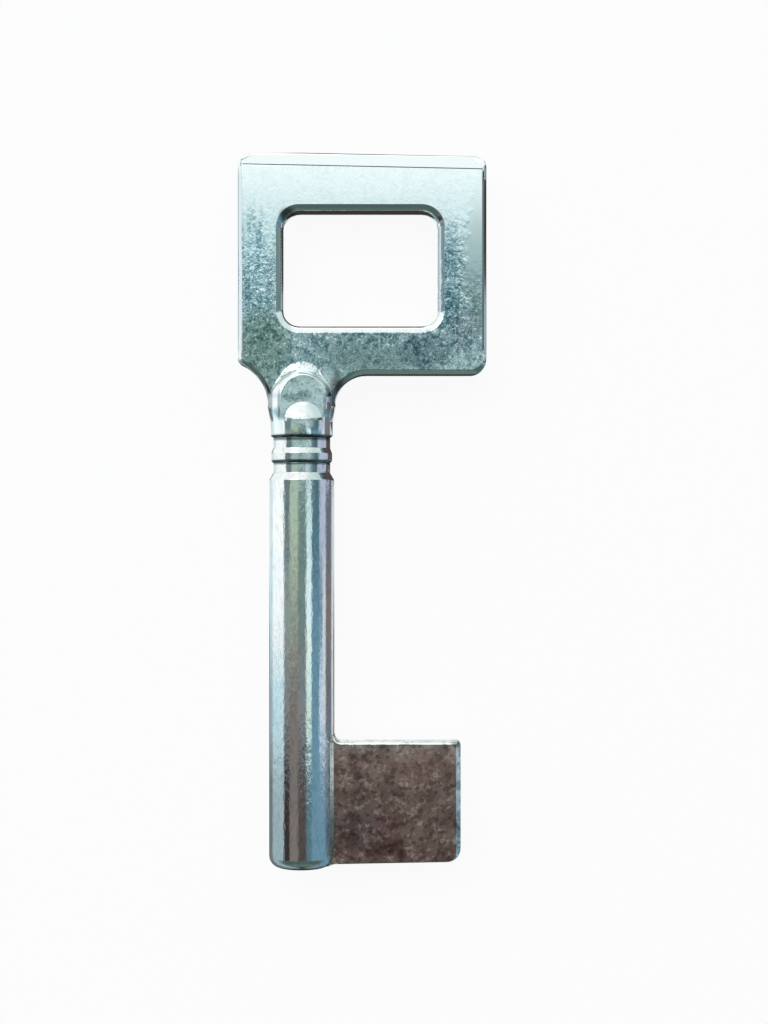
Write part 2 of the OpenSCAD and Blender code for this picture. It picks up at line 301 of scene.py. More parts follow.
def marked(tree, place, marks, lively):
    colour = WHITE
    for centre, reach, tint, extra in marks:
        mask = spot_mask(tree, place, centre, reach)
        colour = tinted(tree, mask, colour, tint)
        lively = math_node(tree, "ADD", lively, math_node(tree, "MULTIPLY", mask, extra))
    return colour, lively


def plated_metal(name, colours, patch_rate, waves, grains, bump, roughness, pit_tint, speck_tint=(1, 1, 1),
                 grain=1.0, quiet=None, stretch=(1, 1, 1), stains_and_painted_light=(), painted_shades=(), streaks=(), edges=None):
    material = bpy.data.materials.new(name)
    material.use_nodes = True
    tree = material.node_tree
    tree.nodes.clear()
    coordinates = add(tree, "ShaderNodeTexCoord").outputs
    here = coordinates["Object"]
    place = add(tree, "ShaderNodeMapping", {"Vector": here, "Scale": stretch}).outputs[0]
    skin = use_group(tree, metal_skin, {
        "Vector": place, "Waves per metre": waves, "Grains per metre": grains})
    patched = use_group(tree, patches, {
        "Vector": here, "Patches per metre": patch_rate,
        "Dark": opaque(colours[0]), "Middle": opaque(colours[1]), "Light": opaque(colours[2])})["Color"]
    lively = calmed(tree, here, grain, *quiet) if quiet else grain
    # Stains: dull plating, with painted reflection, painted shade and painted highlights in their tints.
    stain_and_light_tint, lively = marked(tree, ragged_place(tree, here), stains_and_painted_light, lively)
    # Painted shade and painted reflection, with clean borders.
    painted_shading, lively = marked(tree, here, painted_shades, lively)
    if edges:
        edge_colour, less_grain = edges
        on_edge = edge_mask(tree, coordinates["Normal"])
        lively = math_node(tree, "SUBTRACT", lively, math_node(tree, "MULTIPLY", on_edge, less_grain))
    lively = math_node(tree, "MAXIMUM", lively, 0.0)
    colour = mix_colour(tree, lively, opaque(colours[1]), patched)
    colour = mix_colour(tree, 1.0, colour, stain_and_light_tint, "MULTIPLY")
    if edges:
        colour = mix_colour(tree, on_edge, colour, opaque(edge_colour))
    colour = mix_colour(tree, 1.0, colour, painted_shading, "MULTIPLY")
    pits = math_node(tree, "MULTIPLY", skin["Pits"], lively)
    if streaks:
        pits = math_node(tree, "MAXIMUM", pits, streak_mask(tree, here, streaks))
    specks = math_node(tree, "MULTIPLY", skin["Specks"], lively)
    colour = tinted(tree, pits, colour, pit_tint)
    colour = tinted(tree, specks, colour, speck_tint)
    rough = add(tree, "ShaderNodeMapRange", {
        "Value": specks, "To Min": roughness[0], "To Max": roughness[1]})
    relief = add(tree, "ShaderNodeBump", {
        "Height": math_node(tree, "MULTIPLY", skin["Height"], lively),
        "Strength": 1.0, "Distance": bump * MM})
    shader = add(tree, "ShaderNodeBsdfPrincipled", {
        "Base Color": colour, "Metallic": 1.0,
        "Roughness": rough.outputs[0], "Normal": relief.outputs["Normal"]})
    add(tree, "ShaderNodeOutputMaterial", {"Surface": shader.outputs["BSDF"]})
    print("finish:", name, "with", len(tree.nodes), "nodes")
    return material


# %% [markdown]
# The bow was polished by hand. Its upper bar is smooth, and the bars beside and below the window are
# livelier. The stains change the grain where the plating went dull, and their tints are painted reflection
# and painted shade: dark along the lower bar and beside the window, greenish in the corner above the neck,
# and a dark line across the pad. A tint above 1 is a painted highlight. The painted shades lie on the
# right side of the neck, along the left side and both borders of the pad, in a corner of the window and in
# the groove at the neck's foot. The painted shade in both grooves of the neck also lies on the turned
# parts beside them, so its values have a name.

# %% The finish of the bow

PLATING = (0.77, 0.83, 0.83)
# Painted shade in the two grooves of the neck, also laid on the turned parts.
PAINTED_GROOVE_SHADE = (
    ((0.0, 40.35), (9.0, 0.36), (0.25, 0.30, 0.30), 0.0),
    ((0.0, 42.80), (9.0, 0.42), (0.22, 0.27, 0.27), 0.0),
)
cast_metal = plated_metal(
    "cast_plated_metal",
    colours=((0.52, 0.64, 0.66), (0.75, 0.82, 0.82), (0.94, 0.95, 0.94)), patch_rate=1200.0,
    waves=2000.0, grains=4400.0, bump=0.013, roughness=(0.08, 0.16), pit_tint=(0.32, 0.46, 0.49),
    speck_tint=(1.40, 1.32, 1.28), grain=0.9, quiet=(57.0, 66.0, 0.10), stretch=(1, 0.8, 1),
    edges=(PLATING, 0.8),
    # Tints below 1 are painted reflection and painted shade, tints above 1 are painted highlights.
    stains_and_painted_light=(
        ((-3.9, 52.0), (3.6, 4.4), (0.60, 0.66, 0.58), 0.1),
        ((6.2, 50.4), (5.0, 1.5), (0.98, 0.96, 0.92), -0.5),
        ((7.6, 51.6), (9.0, 3.6), (0.70, 0.74, 0.75), 0.1),
        ((12.3, 51.4), (3.6, 2.4), (0.66, 0.68, 0.71), 0.1),
        ((14.8, 58.0), (1.6, 8.0), (0.56, 0.66, 0.70), 0.4),
        ((15.9, 53.4), (1.6, 3.0), (0.80, 0.76, 0.80), 0.2),
        ((17.5, 59.5), (1.7, 8.5), (0.90, 0.84, 0.80), -0.5),
        ((17.0, 50.6), (2.4, 1.8), (1.25, 1.20, 1.18), 0.0),
        ((-4.6, 59.0), (1.7, 6.5), (0.90, 0.97, 1.00), 0.1),
        ((0.0, 46.0), (4.5, 4.0), (1.10, 1.06, 1.05), -0.55),
        ((-0.4, 46.8), (1.7, 0.6), (0.66, 0.70, 0.70), 0.3),
        ((2.6, 48.3), (1.3, 1.4), (1.25, 1.20, 1.20), -0.4),
    ),
    # Painted shade on the neck's sides, round the pad, in a window corner and in the neck's groove.
    painted_shades=(
        ((3.50, 46.9), (1.1, 3.3), (0.34, 0.31, 0.30), -0.3),
        ((-3.15, 46.2), (0.45, 3.4), (0.50, 0.50, 0.50), -0.3),
        ((-2.15, 46.0), (0.2, 1.9), (0.45, 0.50, 0.50), 0.0),
        ((2.35, 46.0), (0.2, 1.8), (0.60, 0.62, 0.65), 0.0),
        ((-1.35, 64.8), (1.1, 1.1), (0.30, 0.27, 0.26), 0.0),
        PAINTED_GROOVE_SHADE[1],
    ),
    streaks=(
        ((-4.5, 60.0), (2.4, 7.5)),
        ((16.2, 54.2), (1.8, 4.6)),
    ))

# %% [markdown]
# The turned parts are brighter and smoother, with fine ripples drawn out along the axis, and carry the
# painted shade of the neck's grooves. The bit is bare, ground metal that has browned: large warm patches,
# a few pits and a duller shine. A painted highlight lightens its top, and painted reflection darkens
# patches along its right edge. Its edges were not ground, so they keep the plating. The brazing metal is
# dull and grey.

# %% The finishes of the turned parts, the bit and the brazing

turned_metal = plated_metal(
    "turned_plated_metal",
    colours=((0.74, 0.80, 0.83), (0.79, 0.82, 0.82), (0.83, 0.83, 0.81)), patch_rate=300.0,
    waves=2200.0, grains=5200.0, bump=0.012, roughness=(0.04, 0.10), pit_tint=(0.80, 0.84, 0.87),
    # Painted shade in the neck's grooves.
    grain=0.8, stretch=(1, 0.3, 1), painted_shades=PAINTED_GROOVE_SHADE)
bit_metal = plated_metal(
    "bit_plated_metal",
    colours=((0.48, 0.32, 0.29), (0.69, 0.49, 0.45), (0.90, 0.69, 0.62)), patch_rate=560.0,
    waves=1100.0, grains=2200.0, bump=0.004, roughness=(0.18, 0.26), pit_tint=(0.60, 0.54, 0.54),
    speck_tint=(1.30, 1.30, 1.26),
    edges=(PLATING, 0.0),
    # The band along the top is a painted highlight; the others are bluish, darker or lighter patches.
    stains_and_painted_light=(
        ((5.6, 4.2), (3.0, 2.8), (0.78, 0.82, 0.90), 0.2),
        ((8.6, 1.8), (2.6, 0.6), (0.66, 0.62, 0.62), 0.0),
        ((13.8, 6.4), (0.9, 0.7), (1.25, 1.25, 1.20), 0.0),
        ((11.6, 10.4), (4.6, 2.2), (1.22, 1.20, 1.16), -0.2),
        ((9.4, 12.1), (9.0, 1.0), (1.10, 1.30, 1.30), 0.0),
    ),
    # Painted reflection: darker green-grey patches along the bit's right edge.
    painted_shades=(
        ((15.7, 4.3), (0.6, 1.8), (0.55, 0.62, 0.60), 0.0),
        ((15.7, 8.2), (0.6, 0.7), (0.45, 0.56, 0.54), 0.0),
        ((15.7, 12.6), (1.0, 0.8), (0.40, 0.52, 0.48), 0.0),
    ))
brazing_metal = plated_metal(
    "brazing_metal",
    colours=((0.50, 0.55, 0.55), (0.56, 0.60, 0.60), (0.62, 0.66, 0.66)), patch_rate=900.0,
    waves=2600.0, grains=5200.0, bump=0.004, roughness=(0.50, 0.60), pit_tint=(0.70, 0.72, 0.70))

# %% [markdown]
# Collar and shank were turned on a lathe, so each is fully told by half of its section: a list of radii
# and heights. A sharp turned corner never stays sharp after plating, so each point also has the radius of
# its round, or 0 where no one sees the corner. The helper below cuts each such corner and puts an arc in
# its place. It also adds a point just outside each end of the arc, which keeps the shading of the long
# straight walls even.

# %% Round the corners of a turned section

ARC_STEPS = 6
GUARD = 0.03 * MM


def rounded(points):
    made = []
    for place, (radius, height, round_r) in enumerate(points):
        here = Vector((radius, height))
        if round_r == 0:
            made.append(here)
            continue
        back = Vector(points[place - 1][:2]) - here
        on = Vector(points[place + 1][:2]) - here
        half = back.angle(on) / 2
        cut = round_r / math.tan(half)
        centre = here + (back.normalized() + on.normalized()).normalized() * round_r / math.sin(half)
        start = here + back.normalized() * cut
        end = here + on.normalized() * cut
        made.append(start + back.normalized() * GUARD)
        spoke = start - centre
        sweep = spoke.angle_signed(end - centre)
        for step in range(ARC_STEPS + 1):
            turned = -sweep * step / ARC_STEPS
            made.append(centre + Vector((
                spoke.x * math.cos(turned) - spoke.y * math.sin(turned),
                spoke.x * math.sin(turned) + spoke.y * math.cos(turned),
            )))
        made.append(end + on.normalized() * GUARD)
    return made


corner_points = rounded([(0, 0, 0), (5 * MM, 0, 1 * MM), (5 * MM, 5 * MM, 0)])
print("a section of 3 points with one round:", len(corner_points), "points")

# %% [markdown]
# Geometry Nodes turn the section round the shank's axis, the way a lathe would. A Screw modifier could do
# that too, but a tree of our own makes both turned parts alike and sets their finish in one go. It makes
# a grid with one row for each point of the section and one column for each step round the axis, and then
# moves every grid point to its radius, height and angle. Merging by distance closes the seam and the
# poles.

# %% Build the lathe as a node tree


def make_lathe():
    tree = bpy.data.node_groups.new("lathe", "GeometryNodeTree")
    tree.is_modifier = True
    face = tree.interface
    face.new_socket("Section", in_out="INPUT", socket_type="NodeSocketGeometry")
    face.new_socket("Steps round", in_out="INPUT", socket_type="NodeSocketInt")
    face.new_socket("Merge distance", in_out="INPUT", socket_type="NodeSocketFloat")
    face.new_socket("Finish", in_out="INPUT", socket_type="NodeSocketMaterial")
    face.new_socket("Turned part", in_out="OUTPUT", socket_type="NodeSocketGeometry")
    given = add(tree, "NodeGroupInput")
    result = add(tree, "NodeGroupOutput")
    section = given.outputs["Section"]
    steps = given.outputs["Steps round"]
    count = add(tree, "GeometryNodeAttributeDomainSize", {"Geometry": section}).outputs["Point Count"]
    columns = math_node(tree, "ADD", steps, 1.0)
    grid = add(tree, "GeometryNodeMeshGrid", {"Vertices X": columns, "Vertices Y": count})
    index = add(tree, "GeometryNodeInputIndex").outputs["Index"]
    row = math_node(tree, "MODULO", index, count)
    column = math_node(tree, "FLOOR", math_node(tree, "DIVIDE", index, count))
    angle = math_node(tree, "MULTIPLY", math_node(tree, "DIVIDE", column, steps), math.tau)
    position = add(tree, "GeometryNodeInputPosition").outputs["Position"]
    sampled = add(tree, "GeometryNodeSampleIndex", {"Geometry": section, "Index": row},
                  data_type="FLOAT_VECTOR", domain="POINT")
    tree.links.new(position, sampled.inputs["Value"])
    parts = add(tree, "ShaderNodeSeparateXYZ", {0: sampled.outputs["Value"]})
    across = math_node(tree, "MULTIPLY", parts.outputs["X"], math_node(tree, "COSINE", angle))
    up = math_node(tree, "MULTIPLY", parts.outputs["X"], math_node(tree, "SINE", angle))
    place = add(tree, "ShaderNodeCombineXYZ", {"X": across, "Y": parts.outputs["Y"], "Z": up})
    moved = add(tree, "GeometryNodeSetPosition", {
        "Geometry": grid.outputs["Mesh"], "Position": place.outputs[0]})
    closed = add(tree, "GeometryNodeMergeByDistance", {
        "Geometry": moved.outputs[0], "Distance": given.outputs["Merge distance"]})
    smooth = add(tree, "GeometryNodeSetShadeSmooth", {"Geometry": closed.outputs[0]})
    real = add(tree, "GeometryNodeRealizeInstances", {"Geometry": smooth.outputs[0]})
    dressed = add(tree, "GeometryNodeSetMaterial", {
        "Geometry": real.outputs[0], "Material": given.outputs["Finish"]})
    tree.links.new(dressed.outputs[0], result.inputs["Turned part"])
    return tree


lathe = make_lathe()
print("tree:", lathe.name, "with", len(lathe.nodes), "nodes")

# %% [markdown]
# Baking a modifier means evaluating the object and keeping the mesh that comes out. The finished piece is
# then a plain mesh at the origin, which every later step can handle. A closed mesh can still be inside
# out, and its signed volume tells: a negative one means that all faces have to be flipped.

# %% Helpers that finish a mesh

STEPS_ROUND = 160
SEAM_REACH = 0.0005 * MM


def volume_of(mesh):
    shape = bmesh.new()
    shape.from_mesh(mesh)
    volume = shape.calc_volume(signed=True)
    shape.free()
    return volume


def bake(piece):
    bpy.context.view_layer.update()
    seen = piece.evaluated_get(bpy.context.evaluated_depsgraph_get())
    mesh = bpy.data.meshes.new_from_object(seen)
    old = piece.data
    piece.modifiers.clear()
    piece.data = mesh
    bpy.data.meshes.remove(old)
    mesh.name = piece.name
    return piece


def print_size(piece):
    volume = volume_of(piece.data) / MM**3
    print(piece.name, "has", len(piece.data.polygons), "faces and", round(volume, 1), "mm3")


def new_object(name, data):
    piece = bpy.data.objects.new(name, data)
    bpy.context.scene.collection.objects.link(piece)
    return piece


def set_input(modifier, name, value):
    for item in modifier.node_group.interface.items_tree:
        if item.in_out == "INPUT" and item.name == name:
            modifier[item.identifier] = value


def turn(name, section, finish):
    mesh = bpy.data.meshes.new(name)
    points = rounded(section)
    edges = [(start, start + 1) for start in range(len(points) - 1)]
    mesh.from_pydata([(point.x, point.y, 0.0) for point in points], edges, [])
    piece = new_object(name, mesh)
    modifier = piece.modifiers.new("lathe", "NODES")
    modifier.node_group = lathe
    set_input(modifier, "Steps round", STEPS_ROUND)
    set_input(modifier, "Merge distance", SEAM_REACH)
    set_input(modifier, "Finish", finish)
    bake(piece)
    if volume_of(piece.data) < 0:
        piece.data.flip_normals()
    print_size(piece)
    return piece


print("mesh helpers: a turned part gets", STEPS_ROUND, "steps round its axis")

# %% [markdown]
# The shank is one bar: a rounded end, a long plain cylinder, a chamfer, a narrow land and the thin spigot
# that carries the collar and the bow. The CAD shape is made of flat strips, so the shank is turned again
# here, with more steps round and with small rounds at its corners. Its heights are read off the frame
# where the frame has them.

# %% Turn the shank

SHANK_R = 3.25 * MM
LAND_R = 2.85 * MM
SPIGOT_R = 1.60 * MM
TIP_R = 1.10 * MM
SHANK_TOP = 38.6 * MM
SHOULDER_TOP = 39.3 * MM
SEAM_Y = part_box("collar")[0].y
NECK_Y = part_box("collar")[1].y
SPIGOT_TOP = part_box("shank")[1].y
OUTER_ROUND = 0.12 * MM
INNER_ROUND = 0.10 * MM
SHANK_LIP = 0.05 * MM

shank = turn("turned_shank", [
    (0, 0, 0),
    (SHANK_R, 0, TIP_R),
    (SHANK_R, SHANK_TOP, OUTER_ROUND),
    (LAND_R, SHOULDER_TOP, INNER_ROUND),
    (LAND_R, SEAM_Y, SHANK_LIP),
    (SPIGOT_R, SEAM_Y, 0),
    (SPIGOT_R, SPIGOT_TOP, 0),
    (0, SPIGOT_TOP, 0),
], turned_metal)
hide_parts("shank")
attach(shank, "root")

# %% [markdown]
# The collar is a short bush on the spigot. Its section is a closed loop, so the first point comes again
# at the end. It meets the shank in one of the neck's two grooves and the bow in the other, and the small
# rounds of the lips at each seam leave a fine line there, as on the real neck.

# %% Turn the collar

BORE_R = 1.62 * MM
RIM_R = 3.05 * MM
RIM_Y = SEAM_Y + 0.20 * MM
RIM_TOP = RIM_Y + 0.75 * MM
COLLAR_LAND = RIM_TOP + 0.50 * MM
RIM_ROUND = 0.16 * MM
COLLAR_LIP = 0.04 * MM

collar = turn("turned_collar", [
    (BORE_R, SEAM_Y, 0),
    (LAND_R, SEAM_Y, COLLAR_LIP),
    (RIM_R, RIM_Y, RIM_ROUND),
    (RIM_R, RIM_TOP, OUTER_ROUND),
    (LAND_R, COLLAR_LAND, INNER_ROUND),
    (LAND_R, NECK_Y, COLLAR_LIP),
    (BORE_R, NECK_Y, 0),
    (BORE_R, SEAM_Y, 0),
], turned_metal)
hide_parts("collar")
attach(collar, "root")

# %% [markdown]
# Bow and bit keep their CAD shapes, which are true but razor sharp. A copy of each is merged into one
# closed skin and its flat faces are joined into single polygons. A Bevel modifier then rounds each edge
# by the weight that is written on it, so the worn corners of the bow get a wide round, and the fine lines
# of the neck and the ground facet a narrow one. Weighted normals keep the big flats flat in the shading.
# Where many edges meet, a bevel can throw a point out of the shape, and such a point is put back on the
# skin of the CAD shape. The fillets of brazing metal flow into their neighbours and need no bevel.

# %% Helpers that give a CAD shape soft edges

MERGE = 0.002 * MM
LOOSE = 0.03 * MM
FLAT = math.radians(1.0)
CREASE = math.radians(17.0)
BEVEL_STEPS = 4
FLATS_FIRST = 100


def merged_copy(name, node, finish, weight_of=None, reshape=None):
    shape = bmesh.new()
    shape.from_mesh(nodes[node].data)
    bmesh.ops.remove_doubles(shape, verts=shape.verts, dist=MERGE)
    bmesh.ops.dissolve_limit(shape, angle_limit=FLAT, verts=shape.verts, edges=shape.edges)
    if reshape:
        reshape(shape)
    for polygon in shape.faces:
        polygon.smooth = True
    if weight_of:
        weights = shape.edges.layers.float.new("bevel_weight_edge")
        for edge in shape.edges:
            angle = edge.calc_face_angle(0.0)
            edge[weights] = weight_of(edge, angle) if angle > CREASE else 0.0
    mesh = bpy.data.meshes.new(name)
    shape.to_mesh(mesh)
    shape.free()
    mesh.materials.clear()
    mesh.materials.append(finish)
    return new_object(name, mesh)


def pull_in(piece, node):
    frame_mesh = nodes[node].data
    skin = BVHTree.FromPolygons(
        [vert.co for vert in frame_mesh.vertices],
        [tuple(face.vertices) for face in frame_mesh.polygons])
    pulled = 0
    for vert in piece.data.vertices:
        nearest, normal, _, _ = skin.find_nearest(vert.co)
        if (vert.co - nearest).dot(normal) > LOOSE:
            vert.co = nearest
            pulled += 1
    print(piece.name, "had", pulled, "points pulled in")


def softened(name, node, finish, width, weight_of, reshape=None):
    piece = merged_copy(name, node, finish, weight_of, reshape)
    bevel = piece.modifiers.new("bevel", "BEVEL")
    bevel.width = width
    bevel.segments = BEVEL_STEPS
    bevel.limit_method = "WEIGHT"
    bevel.miter_outer = "MITER_ARC"
    bevel.use_clamp_overlap = False
    weighted = piece.modifiers.new("weighted", "WEIGHTED_NORMAL")
    weighted.weight = FLATS_FIRST
    weighted.keep_sharp = False
    bake(piece)
    pull_in(piece, node)
    print_size(piece)
    return piece


print("soft edges: an edge counts from", round(math.degrees(CREASE)), "degrees on")

# %% [markdown]
# The bow's top edge was ground down towards the far side after casting, and the grinder rolled over the
# far corner. The CAD shape ends there in the ground line alone, so the corner is rounded here. A few cuts
# across it give it points to move, and each point outside the round is pulled back onto it. The round
# shrinks towards the faces as the bow's own bevel does. Four cuts across the whole bow, two near each end
# of its side bars, keep the shading of the long bars straight, whatever happens at the corners.

# %% Roll the ground edge over the far corner

CORNER_R = 1.5 * MM
BEVEL_W = 0.45 * MM
BEVEL_D = 0.25 * MM
GRIND = math.radians(1.2)
BOW_LOW, BOW_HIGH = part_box("bow")
HALF_T = 1.5 * MM
WINDOW_X = -1.8 * MM
BAR_ENDS = (51.2 * MM, 51.6 * MM, 68.2 * MM, 68.6 * MM)


def cut_across(shape, faces, spot, along):
    parts = set(faces)
    for face in faces:
        parts.update(face.edges)
        parts.update(face.verts)
    bmesh.ops.bisect_plane(shape, geom=list(parts), plane_co=spot, plane_no=along)


def round_far_corner(shape):
    for height in BAR_ENDS:
        cut_across(shape, list(shape.faces), (0, height, 0), (0, 1, 0))
    middle_x = BOW_HIGH.x - CORNER_R
    ground_y = BOW_HIGH.y - (middle_x - WINDOW_X) * math.tan(GRIND)
    middle = Vector((middle_x, ground_y - CORNER_R))
    for step in range(ARC_STEPS):
        cut = middle_x + CORNER_R * math.sin(step / ARC_STEPS * math.pi / 2)
        near = [face for face in shape.faces if max(vert.co.y for vert in face.verts) > middle.y]
        cut_across(shape, near, (cut, 0, 0), (1, 0, 0))
    for vert in shape.verts:
        away = vert.co.xy - middle
        inset = max(0.0, (abs(vert.co.z) - HALF_T + BEVEL_D) / BEVEL_D) * BEVEL_W
        reach = CORNER_R - inset
        if away.x > 0 and away.y > 0 and away.length > reach:
            vert.co.xy = middle + away.normalized() * reach


print("far corner: a round of", round(CORNER_R / MM, 1), "mm in", ARC_STEPS, "steps")

# %% [markdown]
# The steep edges along the walls of the bow's square carry the wear, inside the window, where the ring
# rubs, as well as round the outside. The edge at the neck's foot, above the collar, is worn too. All
# other edges stay crisp, those of the bit too, and so do the two corners of the far side, whose small
# rounds have no room for a wide bevel.

# %% Soften the bow, the bit and the brazed fillets

WIDEST = 0.26 * MM
WORN, FOOT, CRISP = 1.0, 0.7, 0.16
NECK_TOP = 49.6 * MM
CORNER_X = 16.9 * MM
CORNER_LOW, CORNER_HIGH = 50.8 * MM, 69.4 * MM
WALL = 0.5
STEEP = math.radians(50.0)


def in_far_corner(place):
    return place.x > CORNER_X and not CORNER_LOW < place.y < CORNER_HIGH


def bow_weight(edge, angle):
    places = [vert.co for vert in edge.verts]
    at_foot = max(place.y for place in places) < BOW_LOW.y + MERGE
    if at_foot and places[0].xz.length > LAND_R:
        return FOOT
    if all(in_far_corner(place) for place in places):
        return CRISP
    on_square = min(place.y for place in places) > NECK_TOP
    at_wall = min(abs(face.normal.z) for face in edge.link_faces) < WALL
    return WORN if on_square and at_wall and angle > STEEP else CRISP


def bit_weight(edge, angle):
    return CRISP


bow = softened("cast_bow", "bow", cast_metal, WIDEST, bow_weight, round_far_corner)
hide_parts("bow")
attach(bow, "root")

bit = softened("flag_bit", "bit", bit_metal, WIDEST, bit_weight)
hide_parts("bit")
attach(bit, "root")

brazing = merged_copy("brazed_fillets", "bit_braze", brazing_metal)
print_size(brazing)
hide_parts("bit_braze")
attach(brazing, "root")

# %% [markdown]
# Polished metal has almost no colour of its own: it shows the room. A plain white room would leave this
# key without its dark edges and stripes, so the room is a soft light tent hung with cards, painted on the
# world by direction alone. Going round the shank from straight below over the left, the top and the
# right, the round metal mirrors one card after the other as a long stripe. The camera looks down on the
# middle of the key and sees the rest of the shank aslant, so the nearer to the tip, the more a mirrored
# direction leans that way. This lean, the Y of the direction, finds the place along a card, and the cards
# change their tones with it three times between neck and tip. A tone is written as it should look, from 0
# to 255, and turned into light for the shader by the sRGB curve. The gain makes up for the light that the
# plating swallows.

# %% The cards of the light tent

GAIN = 1.28
SRGB_FOOT, SRGB_POWER = 0.055, 2.4
TONES = {
    "silk": (243, 245, 245), "white": (246, 251, 250), "mist": (208, 220, 222), "ice": (190, 216, 224),
    "fog": (152, 170, 176), "slate": (106, 116, 120), "haze": (196, 214, 212), "stone": (152, 174, 172),
    "navy": (104, 120, 124), "ash": (124, 126, 128), "soot": (56, 48, 46), "umber": (78, 72, 70),
    "taupe": (118, 110, 106), "reed": (166, 184, 164), "moss": (110, 130, 126), "cedar": (76, 92, 90),
    "glint": (196, 224, 224), "shine": (200, 224, 218), "ocean": (84, 112, 124), "teal": (78, 110, 122),
    "sea": (104, 138, 156), "sky": (190, 208, 228), "lilac": (174, 182, 200), "plum": (104, 106, 118),
    "pearl": (200, 205, 208), "steel": (108, 132, 138), "pine": (76, 102, 106), "aqua": (150, 184, 192),
    "breeze": (190, 216, 222), "pebble": (222, 228, 236), "cloud": (188, 212, 216), "fern": (92, 114, 108),
    "lichen": (140, 150, 146), "olive": (144, 152, 138), "frost": (222, 236, 236),
}


def light_of(value):
    return GAIN * ((value / 255 + SRGB_FOOT) / (1 + SRGB_FOOT)) ** SRGB_POWER


def tone(name):
    return tuple(light_of(value) for value in TONES[name])


def going_round(*stops):
    return [(angle / 360 + 0.5, tone(name)) for angle, name in stops]


STRIPES = [
    (-180, -128), (-118, -66), (-61, -43), (-39, -13), (-8, 16),
    (20, 36), (39, 66), (69, 80), (83, 94), (99, 128), (137, 180),
]
NECK_CARDS = "mist white navy reed moss glint teal lilac lilac plum pearl"
LATER_CARDS = [
    ((-0.01, -0.05), "ice silk lichen olive moss frost sea sea pearl taupe pearl"),
    ((-0.06, -0.10), "fog ice ash taupe ash shine sea sky pearl plum pearl"),
    ((-0.115, -0.150), "slate fog soot taupe umber ocean sea sea sea sea slate"),
]


def striped(names):
    stops = []
    for (first, last), name in zip(STRIPES, names.split()):
        stops += [(first, name), (last, name)]
    return going_round(*stops)


print("tent:", len(STRIPES), "stripes in", len(TONES), "tones")

# %% [markdown]
# The world's shader gets the direction of each ray. Its angle round the shank, which is 0 straight up and
# grows to the right, chooses the stripe, and its lean chooses the set of cards. Each further part of the
# tent is laid over what is there. The two numbers of its border are the lean where it starts to show and
# the lean where it is full, and some parts have a second border in degrees off the top.

# %% Hang the cards

world = bpy.data.worlds.new("light_tent")
bpy.context.scene.world = world
world.use_nodes = True
tent = world.node_tree
tent.nodes.clear()
direction = add(tent, "ShaderNodeTexCoord").outputs["Generated"]
axes = add(tent, "ShaderNodeSeparateXYZ", {0: direction}).outputs
lean = axes["Y"]
turn_angle = math_node(tent, "ARCTAN2", axes["X"], axes["Z"])
around = math_node(tent, "ADD", math_node(tent, "DIVIDE", turn_angle, math.tau), 0.5)
off_top = math_node(tent, "ABSOLUTE", turn_angle)


def by_lean(start, end):
    return share_of(tent, lean, start, end)


def off_top_by(start, end):
    return share_of(tent, off_top, math.radians(start), math.radians(end))


def in_both(first, second):
    return math_node(tent, "MULTIPLY", first, second)


def over(factor, below, above):
    return mix_colour(tent, factor, below, above)


lit = ramp(tent, around, striped(NECK_CARDS))
for border, names in LATER_CARDS:
    lit = over(by_lean(*border), lit, ramp(tent, around, striped(names)))
print("tent:", 1 + len(LATER_CARDS), "sets of cards along the shank")

# %% [markdown]
# The neck, between shank and bow, looks at a part of the tent of its own: white on the left with a dark
# stripe above it, grey-green in the middle, and on the right a dark blue-green stripe, then lilac, then
# dark brown. The flat pad on it mirrors one pale card. The flats of the bow mirror a narrow strip almost
# straight above the key, so that strip is graded with care: dark low down, where the lower bar looks, and
# white further up, where the upper bar looks. The bevels of the bow look to the sides, which are light on
# the left and dark on the right. On the right they start a little later, because the neck's blend looks
# that way too.

# %% The neck's part of the tent, and the parts above and beside the bow

NECK_FROM = (0.014, 0.022)
PAD_FROM, PAD_WITHIN = (0.052, 0.058), (30, 24)
BOW_FROM, SIDES_OUTSIDE = (0.076, 0.079), (24, 38)
SIDES_FROM, RIGHT_LATER = (0.088, 0.094), 0.032
STRIP = (0.070, 0.190)

neck = ramp(tent, around, going_round(
    (-180, "mist"), (-128, "mist"), (-120, "silk"), (-66, "silk"), (-62, "navy"), (-42, "navy"),
    (-36, "stone"), (22, "stone"), (30, "fog"), (38, "fog"), (47, "steel"), (55, "pine"), (66, "pine"),
    (74, "lilac"), (114, "lilac"), (121, "umber"), (166, "umber"), (174, "mist")))
sides = ramp(tent, around, going_round(
    (-176, "white"), (-170, "slate"), (-130, "slate"), (-120, "pebble"), (-57, "pebble"), (-53, "steel"),
    (-44, "steel"), (0, "stone"), (42, "moss"), (52, "moss"), (55, "stone"), (58, "stone"),
    (60, "slate"), (64, "slate"), (68, "soot"), (173, "soot"), (176, "white")))
strip = ramp(tent, by_lean(*STRIP), [
    (0.00, tone("stone")),
    (0.08, tone("fern")),
    (0.18, tone("pine")),
    (0.32, tone("pine")),
    (0.52, tone("aqua")),
    (0.74, tone("breeze")),
    (0.90, tone("white")),
])
on_right = math_node(tent, "GREATER_THAN", turn_angle, 0.0)
side_lean = math_node(tent, "SUBTRACT", lean, math_node(tent, "MULTIPLY", on_right, RIGHT_LATER))
beside = over(share_of(tent, side_lean, *SIDES_FROM), neck, sides)
bow_part = over(off_top_by(*SIDES_OUTSIDE), strip, beside)
lit = over(by_lean(*NECK_FROM), lit, neck)
lit = over(in_both(by_lean(*PAD_FROM), off_top_by(*PAD_WITHIN)), lit, opaque(tone("cloud")))
lit = over(by_lean(*BOW_FROM), lit, bow_part)
print("tent:", len(tent.nodes), "nodes with the neck and the bow")

